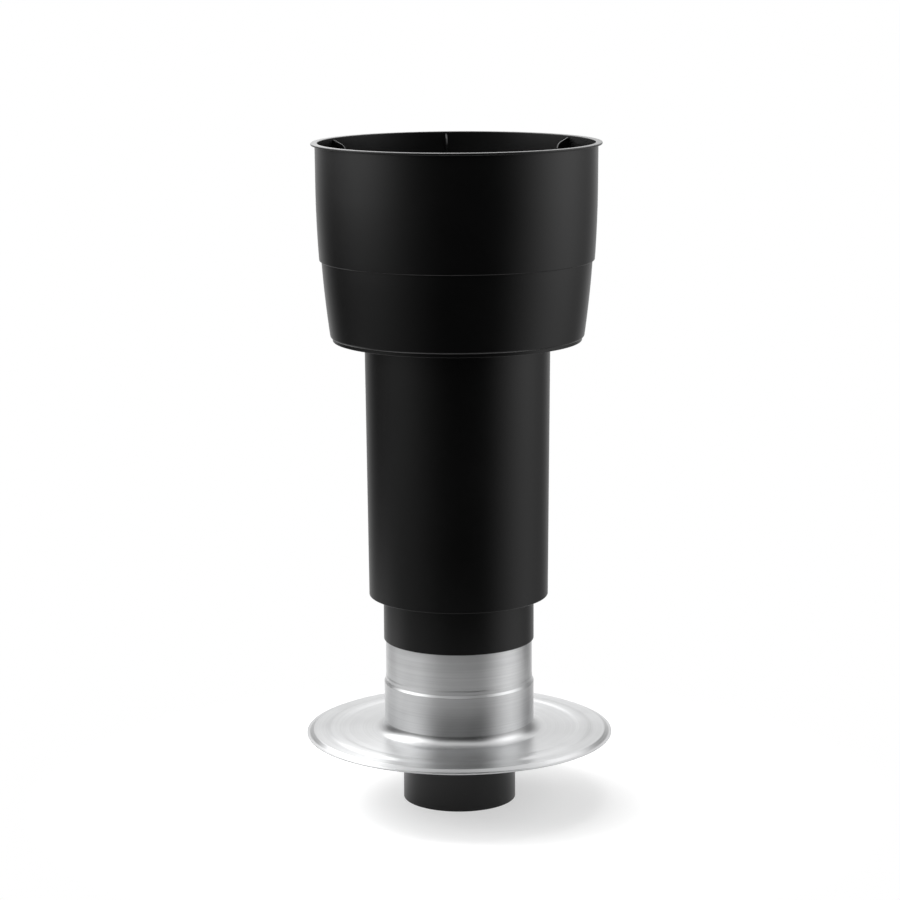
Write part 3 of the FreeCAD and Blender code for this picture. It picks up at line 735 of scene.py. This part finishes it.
class VENT_OT_hood_bowl(bpy.types.Operator):
    """Lower bowl of the hood, with its foot ring, sloping floor, spigot, posts and screw ears"""

    bl_idname = "vent.hood_bowl"
    bl_label = "Hood bowl"
    bl_options = {"REGISTER", "UNDO"}

    def execute(self, context):
        hood = context.scene.vent_hood
        ribs = context.scene.vent_ribs
        tubes = context.scene.vent_tubes
        wall = hood.bowl_wall
        top = BOWL_HIGH[2]
        ring_foot = RING_LOW[2]
        sleeve_top = SLEEVE_HIGH[2]
        rim_radius = RING_HIGH[0] - hood.lip_overhang - hood.ring_foot_inset - hood.bowl_rim_inset
        belly = ring_foot - hood.bowl_belly_drop
        foot = sleeve_top + hood.foot_ring_height
        corner = foot + hood.foot_ring_height
        floor_radius = hood.bowl_foot_radius - hood.foot_ring_inset
        spigot = SLEEVE_HIGH[0] - tubes.sleeve_wall - FIT
        spigot_foot = BOWL_LOW[2]
        taper = tubes.sleeve_taper * hood.spigot_length / (SLEEVE_HIGH[2] - SLEEVE_LOW[2])
        floor_outer = sleeve_top + wall + hood.floor_fall
        bm = turned([(rim_radius, top, EDGE_ROUND),
                     (rim_radius, ring_foot),
                     (hood.bowl_belly_radius, belly, hood.bowl_curve),
                     (hood.bowl_foot_radius, corner, BOWL_CORNER_BEND),
                     (floor_radius, corner, FINE_ROUND),
                     (floor_radius, foot, EDGE_ROUND),
                     (floor_radius - wall, foot, FINE_ROUND),
                     (floor_radius - wall, floor_outer - wall - hood.foot_ring_height / 2),
                     (SLEEVE_HIGH[0] + FIT, sleeve_top),
                     (spigot, sleeve_top),
                     (spigot - taper, spigot_foot, EDGE_ROUND),
                     (spigot - taper - wall, spigot_foot, EDGE_ROUND),
                     (spigot - wall, sleeve_top + wall, wall),
                     (floor_radius, floor_outer, 2 * wall),
                     (hood.bowl_belly_radius - wall, belly, hood.bowl_curve),
                     (rim_radius - wall, ring_foot),
                     (rim_radius - wall, top, EDGE_ROUND)])
        step = TURN / ribs.count
        post_foot = sleeve_top + wall / 2 + hood.floor_fall * POST_SINK
        for i in range(ribs.count):
            post = on_circle(ribs.arm_circle, ribs.first_angle + i * step)
            round_bar(bm, ribs.boss_radius, post_foot, ribs.post_top, post, BOSS_ROUND)
            ear = on_circle(ribs.tab_circle, ribs.first_angle + (i + 0.5) * step)
            round_bar(bm, ribs.boss_radius, top - EAR_LENGTH, top - SUNK, ear, BOSS_ROUND)
        finish_piece(bm, "hood_bowl_shell", hood_finish(), "hood_bowl")
        return {"FINISHED"}


class VENT_OT_sleeve(bpy.types.Operator):
    """Tapered sleeve outside the roof pipe"""

    bl_idname = "vent.sleeve"
    bl_label = "Sleeve"
    bl_options = {"REGISTER", "UNDO"}

    def execute(self, context):
        tubes = context.scene.vent_tubes
        top_radius = SLEEVE_HIGH[0]
        foot_radius = top_radius - tubes.sleeve_taper
        top = SLEEVE_HIGH[2]
        foot = SLEEVE_LOW[2]
        bm = turned([(top_radius, top, tubes.end_round),
                     (foot_radius, foot, tubes.end_round),
                     (foot_radius - tubes.sleeve_wall, foot, tubes.end_round),
                     (top_radius - tubes.sleeve_wall, top)])
        finish_piece(bm, "sleeve_tube", tube_finish(), "outer_sleeve")
        return {"FINISHED"}


class VENT_OT_pipe(bpy.types.Operator):
    """Roof pipe with the socket that goes over the collar"""

    bl_idname = "vent.pipe"
    bl_label = "Roof pipe"
    bl_options = {"REGISTER", "UNDO"}

    def execute(self, context):
        tubes = context.scene.vent_tubes
        radius = PIPE_HIGH[0]
        foot = PIPE_LOW[2]
        top = PIPE_HIGH[2]
        socket_top = foot + tubes.socket_depth
        bm = turned([(radius, foot, tubes.end_round),
                     (radius, top),
                     (radius - tubes.pipe_wall, top),
                     (radius - tubes.pipe_wall, socket_top),
                     (radius - tubes.socket_wall, socket_top),
                     (radius - tubes.socket_wall, foot, tubes.end_round)])
        finish_piece(bm, "roof_pipe_tube", tube_finish(), "roof_pipe")
        return {"FINISHED"}


class VENT_OT_duct(bpy.types.Operator):
    """Air duct, open at both ends"""

    bl_idname = "vent.duct"
    bl_label = "Air duct"
    bl_options = {"REGISTER", "UNDO"}

    def execute(self, context):
        tubes = context.scene.vent_tubes
        body = DUCT_HIGH[0]
        spigot = body - tubes.duct_step
        bore = spigot - tubes.duct_wall
        foot = DUCT_LOW[2]
        top = DUCT_HIGH[2]
        step = foot + tubes.spigot_length
        seat = top - tubes.nozzle_seat
        bm = turned([(spigot, foot, tubes.end_round),
                     (spigot, step),
                     (body, step + tubes.duct_step),
                     (body, top),
                     (bore + tubes.duct_step, top),
                     (bore + tubes.duct_step, seat),
                     (bore, seat),
                     (bore, foot, tubes.end_round)])
        finish_piece(bm, "air_duct_tube", duct_finish(), "inner_duct")
        return {"FINISHED"}


class VENT_OT_collar(bpy.types.Operator):
    """Aluminium collar with its swaged shoulder and the fine crease above it"""

    bl_idname = "vent.collar"
    bl_label = "Aluminium collar"
    bl_options = {"REGISTER", "UNDO"}

    def execute(self, context):
        metal = context.scene.vent_metal
        lower = COLLAR_HIGH[0]
        upper = lower - metal.collar_upper_inset
        shoulder = upper + metal.crease_step
        foot = COLLAR_LOW[2]
        swage = foot + metal.swage_rise
        swage_top = swage + metal.swage_height
        crease = swage_top + metal.crease_gap
        path = [(upper, COLLAR_HIGH[2]),
                (upper, crease + metal.crease_height, metal.collar_bend),
                (shoulder, crease, metal.collar_bend),
                (shoulder, swage_top, metal.collar_bend),
                (lower, swage, metal.collar_bend),
                (lower, foot)]
        bm = turned(sheet_corners(metal.collar_sheet, path))
        finish_piece(bm, "collar_tube", collar_finish(), "roof_collar", SHEET_SMOOTH_BELOW)
        return {"FINISHED"}


class VENT_OT_flashing(bpy.types.Operator):
    """Aluminium flashing plate with neck, bead and lowered rim"""

    bl_idname = "vent.flashing"
    bl_label = "Flashing plate"
    bl_options = {"REGISTER", "UNDO"}

    def execute(self, context):
        metal = context.scene.vent_metal
        radius = PLATE_HIGH[0]
        rim_top = PLATE_LOW[2] + metal.plate_sheet
        plate = rim_top + metal.rim_drop
        slope_foot = radius - metal.rim_width
        neck = COLLAR_HIGH[0] - metal.collar_sheet - FIT
        bead_start = metal.bead_radius - metal.bead_width / 2
        bead_end = metal.bead_radius + metal.bead_width / 2
        bead_top = plate + metal.bead_rise
        path = [(neck, PLATE_HIGH[2]),
                (neck, plate, metal.flare_radius),
                (bead_start, plate, metal.bead_width),
                (bead_start + metal.bead_side, bead_top, metal.bead_width),
                (bead_end - metal.bead_side, bead_top, metal.bead_width),
                (bead_end, plate, metal.bead_width),
                (slope_foot - metal.rim_slope, plate, metal.rim_crest_bend),
                (slope_foot, rim_top, metal.rim_bend),
                (radius, rim_top)]
        bm = turned(sheet_corners(metal.plate_sheet, path))
        finish_piece(bm, "flashing_disc", plate_finish(), "flashing_plate",
                     SHEET_SMOOTH_BELOW)
        return {"FINISHED"}


class VENT_OT_rain_cap(bpy.types.Operator):
    """Domed rain cap inside the hood"""

    bl_idname = "vent.rain_cap"
    bl_label = "Rain cap"
    bl_options = {"REGISTER", "UNDO"}

    def execute(self, context):
        tubes = context.scene.vent_tubes
        ribs = context.scene.vent_ribs
        radius = CAP_HIGH[0]
        seat = CAP_LOW[2] + ribs.foot_height
        flange_top = seat + tubes.cap_wall
        apex = CAP_HIGH[2]
        inner = radius - ribs.cap_flange
        path = [(0, apex),
                (tubes.cap_crown, apex, tubes.cap_crown_bend),
                (inner, flange_top, tubes.cap_heel_bend),
                (radius, flange_top)]
        bm = turned(sheet_corners(tubes.cap_wall, path))
        skirt_top = flange_top - CAP_SKIRT_DROP
        skirt = turned([(inner, CAP_LOW[2]),
                        (inner, skirt_top),
                        (inner - tubes.cap_wall, skirt_top),
                        (inner - tubes.cap_wall, CAP_LOW[2])], SKIRT_STEPS)
        add_mesh(bm, skirt)
        skirt.free()
        finish_piece(bm, "rain_cap_dome", inner_finish(), "rain_cap")
        return {"FINISHED"}


INNER_FINISHES = {
    "flow_cone": inner_finish,
    "outlet_nozzle": inner_finish,
    "hood_support": inner_finish,
    "lower_spacer": inner_finish,
    "upper_spacer": inner_finish,
    "bottom_plug": inner_finish,
    "insulation_half_left": foam_finish,
    "insulation_half_right": foam_finish,
    "collar_seal": seal_finish,
    "duct_seal": seal_finish,
    "ring_screws": screw_finish,
    "support_screws": screw_finish,
    "cap_screws": screw_finish,
    "nozzle_screws": screw_finish,
}


class VENT_OT_inner_parts(bpy.types.Operator):
    """Finishes of the inner pieces, whose shapes come from the frame"""

    bl_idname = "vent.inner_parts"
    bl_label = "Inner parts"
    bl_options = {"REGISTER", "UNDO"}

    def execute(self, context):
        for name, finish in INNER_FINISHES.items():
            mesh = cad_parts[name].data
            mesh.materials.clear()
            mesh.materials.append(finish())
        return {"FINISHED"}


# Studio

# Soft lamps: place, side and watts
LAMPS = {
    "key_lamp": ((-1.3, 0.5, 1.9), 1.2, 36),
    "fill_lamp": ((1.7, 0.2, 1.3), 1.2, 10),
    "top_lamp": ((0.0, 0.3, 2.4), 1.4, 22),
}
LAMP_AIM = Vector((0, 0, 0.35))

# Strength of the world where it lights and where it is seen
WORLD_LIGHT = 0.35
WORLD_WHITE = 1.0

# The floor glows less near the object, a painted shade about a place off towards the right front, so that its
# shadow shows and its reflections darken there, and fades out at its edge
PAINTED_SHADE_SHIFT = (-0.06, 0.03, 0)
PAINTED_SHADE_RADII = (0.06, 0.24)
FLOOR_GLOW = (0.50, 0.87)
FLOOR_FADE = (0.6, 0.98)

# Panels of the light tent: direction from the front towards the right in degrees, spread to each side,
# heights of the lower and upper edge, softness of both edges, and strength
TENT_HEIGHT = 4.0
TENT_BASE = 0.015
OPEN_TOP = 3.0
TENT_PANELS = [
    (-76, 42, 0.50, OPEN_TOP, 0.25, 0.75),
    (-70, 62, -1.0, OPEN_TOP, 0.30, 0.20),
    (-145, 60, -1.5, -0.20, 0.15, 0.60),
    (-108, 34, -0.45, -0.12, 0.10, 0.70),
    (86, 56, -1.0, OPEN_TOP, 0.30, 0.62),
    (90, 42, 0.35, OPEN_TOP, 0.30, 0.38),
    (180, 62, 0.28, OPEN_TOP, 0.12, 0.10),
    (180, 66, -1.0, OPEN_TOP, 0.30, 0.85),
    (-120, 95, 0.85, OPEN_TOP, 0.25, 2.90),
    (105, 80, 0.85, OPEN_TOP, 0.25, 1.20),
    (-20, 70, 1.20, OPEN_TOP, 0.25, 0.70),
]


def add_camera(studio):
    """Camera at the photograph's place, angle and lens."""
    lens = bpy.data.cameras.new("studio_camera")
    lens.sensor_fit = "HORIZONTAL"
    lens.sensor_width = 36.0
    lens.lens = studio.lens
    camera = bpy.data.objects.new("studio_camera", lens)
    turn = (Matrix.Rotation(studio.camera_yaw, 4, "Z")
            @ Matrix.Rotation(math.pi / 2 - studio.camera_pitch, 4, "X")
            @ Matrix.Rotation(studio.camera_roll, 4, "Z"))
    camera.matrix_world = Matrix.Translation(studio.camera_place) @ turn
    bpy.context.scene.collection.objects.link(camera)
    bpy.context.scene.camera = camera


def seen_rays(tree):
    """1 for camera, glossy and transmission rays, which see the white background."""
    path = tree.nodes.new("ShaderNodeLightPath").outputs
    total = maths(tree, "ADD", path["Is Camera Ray"], path["Is Glossy Ray"])
    return maths(tree, "ADD", total, path["Is Transmission Ray"], clamp=True)


def add_world():
    """White where it is seen, plain grey where it lights."""
    world = bpy.data.worlds.new("studio_world")
    bpy.context.scene.world = world
    world.use_nodes = True
    tree = world.node_tree
    strength = ranged(tree, seen_rays(tree), low=0.0, high=1.0, to_low=WORLD_LIGHT, to_high=WORLD_WHITE)
    tree.links.new(strength, tree.nodes["Background"].inputs["Strength"])
    tree.nodes["Background"].inputs["Color"].default_value = (1, 1, 1, 1)


def stage_object(name, bm, material):
    """Object that belongs to the studio."""
    mesh = bpy.data.meshes.new(name)
    bm.to_mesh(mesh)
    bm.free()
    mesh.materials.append(material)
    item = bpy.data.objects.new(name, mesh)
    bpy.context.scene.collection.objects.link(item)
    return item


def add_floor(studio):
    """Pale round floor that fades into the white background, keeps the object's faint shadow and has painted
    shade in its glow near the object.
    """
    material, tree, shader = new_material("pale_floor", 0.9, studio.floor_colour)
    shader.inputs["Specular IOR Level"].default_value = 0.0
    shader.inputs["Emission Color"].default_value = (1, 1, 1, 1)
    place = own_place(tree)
    # Painted shade: the glow is lower near a place off the axis towards the right front, darker for the
    # camera and in reflections
    beside = node(tree, "ShaderNodeVectorMath", operation="ADD", inputs={0: place, 1: PAINTED_SHADE_SHIFT})
    from_painted_shade = from_axis(tree, beside.outputs["Vector"])
    glow = ranged(tree, from_painted_shade, *PAINTED_SHADE_RADII, *FLOOR_GLOW, smooth=True)
    tree.links.new(maths(tree, "MULTIPLY", seen_rays(tree), glow), shader.inputs["Emission Strength"])
    clear = tree.nodes.new("ShaderNodeBsdfTransparent")
    fade_start, fade_end = (part * studio.floor_radius for part in FLOOR_FADE)
    fade = ranged(tree, from_axis(tree, place), fade_start, fade_end, 0.0, 1.0, smooth=True)
    mixed = node(tree, "ShaderNodeMixShader", inputs={0: fade, 1: shader.outputs[0], 2: clear.outputs[0]})
    tree.links.new(mixed.outputs[0], tree.nodes["Material Output"].inputs["Surface"])
    bm = bmesh.new()
    bmesh.ops.create_circle(bm, cap_ends=True, segments=STUDIO_STEPS, radius=studio.floor_radius)
    stage_object("floor", bm, material)


def panel_glow(tree, direction, height, panel):
    """Brightness that one panel of the tent has in a direction and at a height."""
    centre, spread, low, high, softness, strength = panel
    turned_by = maths(tree, "SUBTRACT", direction, centre)
    wrapped = node(tree, "ShaderNodeMath", operation="WRAP", inputs={0: turned_by, 1: 180.0, 2: -180.0})
    apart = maths(tree, "ABSOLUTE", wrapped.outputs["Value"])
    across = ranged(tree, apart, 0.0, spread, 1.0, 0.0, smooth=True)
    upward = ranged(tree, height, low - softness, low + softness, 0.0, 1.0, smooth=True)
    downward = ranged(tree, height, high - softness, high + softness, 1.0, 0.0, smooth=True)
    glow = maths(tree, "MULTIPLY", maths(tree, "MULTIPLY", across, upward), downward)
    return maths(tree, "MULTIPLY", glow, strength)


def add_tent(studio):
    """Light tent that only reflections see: bright at the sides and behind, dim low down and in front."""
    material = bpy.data.materials.new("tent_cloth")
    material.use_nodes = True
    tree = material.node_tree
    tree.nodes.remove(tree.nodes["Principled BSDF"])
    parts = node(tree, "ShaderNodeSeparateXYZ", inputs={0: own_place(tree)}).outputs
    towards_front = maths(tree, "MULTIPLY", parts["Y"], -1.0)
    direction = maths(tree, "DEGREES", maths(tree, "ARCTAN2", parts["X"], towards_front))
    total = TENT_BASE
    for panel in TENT_PANELS:
        total = maths(tree, "ADD", total, panel_glow(tree, direction, parts["Z"], panel))
    light = node(tree, "ShaderNodeEmission", inputs={"Strength": total})
    tree.links.new(light.outputs["Emission"], tree.nodes["Material Output"].inputs["Surface"])
    bm = bmesh.new()
    bmesh.ops.create_cone(bm, cap_ends=False, segments=STUDIO_STEPS, radius1=studio.tent_radius,
                          radius2=studio.tent_radius, depth=TENT_HEIGHT)
    tent = stage_object("light_tent", bm, material)
    tent.visible_camera = False
    tent.visible_diffuse = False
    tent.visible_shadow = False
    tent.visible_volume_scatter = False


def add_lamps():
    """Soft lamps from above left, right and overhead, which mirrors don't show."""
    for name, (place, side, watts) in LAMPS.items():
        lamp = bpy.data.lights.new(name, "AREA")
        lamp.shape = "SQUARE"
        lamp.size = side
        lamp.energy = watts
        item = bpy.data.objects.new(name, lamp)
        aim = LAMP_AIM - Vector(place)
        item.matrix_world = Matrix.Translation(place) @ aim.to_track_quat("-Z", "Y").to_matrix().to_4x4()
        item.visible_camera = False
        item.visible_glossy = False
        bpy.context.scene.collection.objects.link(item)


class VENT_OT_stage(bpy.types.Operator):
    """Camera, pale floor, white background, light tent and lamps"""

    bl_idname = "vent.stage"
    bl_label = "Studio"
    bl_options = {"REGISTER", "UNDO"}

    def execute(self, context):
        studio = context.scene.vent_studio
        add_camera(studio)
        add_world()
        add_floor(studio)
        add_tent(studio)
        add_lamps()
        context.scene.view_settings.view_transform = "Standard"
        return {"FINISHED"}


OPERATORS = [VENT_OT_flashing, VENT_OT_collar, VENT_OT_pipe, VENT_OT_sleeve, VENT_OT_hood_bowl,
             VENT_OT_hood_ring, VENT_OT_rain_cap, VENT_OT_duct, VENT_OT_inner_parts, VENT_OT_stage]


class VENT_PT_panel(bpy.types.Panel):
    """Lists the pieces of the roof vent terminal"""

    bl_idname = "VENT_PT_panel"
    bl_label = "Roof vent terminal"
    bl_space_type = "VIEW_3D"
    bl_region_type = "UI"
    bl_category = "Roof vent"

    def draw(self, context):
        for operator in OPERATORS:
            self.layout.operator(operator.bl_idname)
        for group in GROUPS:
            box = self.layout.box()
            values = getattr(context.scene, group)
            for name in values.bl_rna.properties.keys():
                if name not in {"rna_type", "name"}:
                    box.prop(values, name)


CLASSES = [*GROUPS.values(), *OPERATORS, VENT_PT_panel]


def register():
    """Registers the classes and puts the sizes and finishes on the scene."""
    for item in CLASSES:
        bpy.utils.register_class(item)
    for name, group in GROUPS.items():
        setattr(bpy.types.Scene, name, bpy.props.PointerProperty(type=group))


def unregister():
    """Takes the classes and the scene's properties away again."""
    for name in GROUPS:
        delattr(bpy.types.Scene, name)
    for item in reversed(CLASSES):
        bpy.utils.unregister_class(item)


def main():
    """Makes all pieces and the studio."""
    register()
    for operator in OPERATORS:
        group, name = operator.bl_idname.split(".")
        getattr(getattr(bpy.ops, group), name)()


if __name__ == "__main__":
    main()
